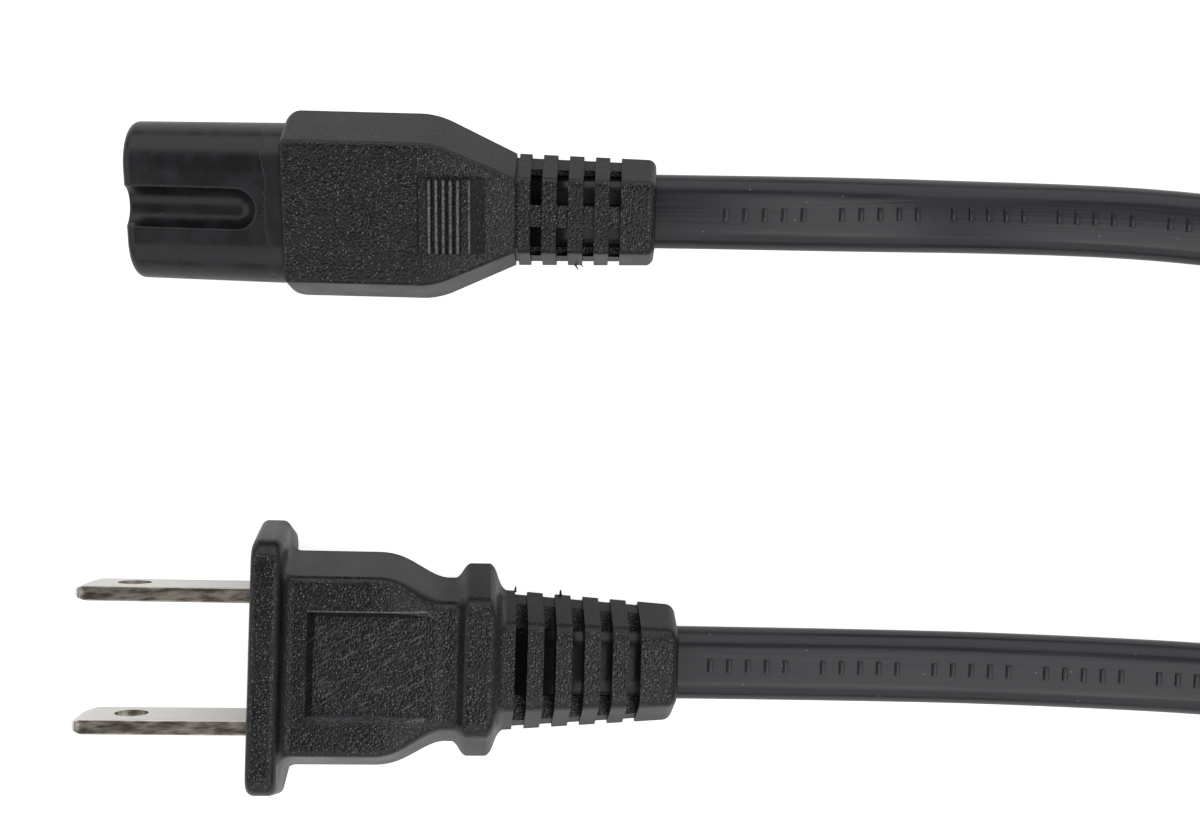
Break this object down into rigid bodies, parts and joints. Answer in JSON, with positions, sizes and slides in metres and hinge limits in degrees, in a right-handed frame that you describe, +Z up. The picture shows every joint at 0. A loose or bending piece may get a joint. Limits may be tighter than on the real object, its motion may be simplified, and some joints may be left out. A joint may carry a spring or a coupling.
{
  "type": "two-wire power cord",
  "caption": "Power cord with a figure-eight appliance connector and a two-blade mains plug moulded on a flat two-core lead, its length wound in a tied coil.",
  "frame": {"origin": "on the table, at the middle of the box round the two moulded ends (the lead, coil and tie left out)", "axes": "+X runs from the blades and the nose towards the lead, +Y from the plug towards the connector, +Z up from the table"},
  "size_m": [0.2328, 0.0927, 0.0156],
  "materials": {
    "overmould": "satin",
    "nose": "satin",
    "jacket": "semi-gloss",
    "bridge": "satin",
    "blade_metal": "nickel-plated, mottled",
    "contact_metal": "bright",
    "conductor": "bare stranded copper",
    "insulation": "smooth",
    "tie": "satin"
  },
  "bodies": {
    "root": {"connector_overmould": "overmould", "contact_block": "nose", "upper_contact": "contact_metal", "lower_contact": "contact_metal", "upper_contact_core": "insulation", "lower_contact_core": "insulation", "upper_contact_wire": "conductor", "lower_contact_wire": "conductor", "plug_overmould": "overmould", "blade_bridge": "bridge", "upper_blade": "blade_metal", "lower_blade": "blade_metal", "upper_blade_core": "insulation", "lower_blade_core": "insulation", "upper_blade_wire": "conductor", "lower_blade_wire": "conductor", "lead_to_connector": "jacket", "lead_to_plug": "jacket", "cord_coil": "jacket", "coil_tie": "tie"}
  },
  "joints": []
}
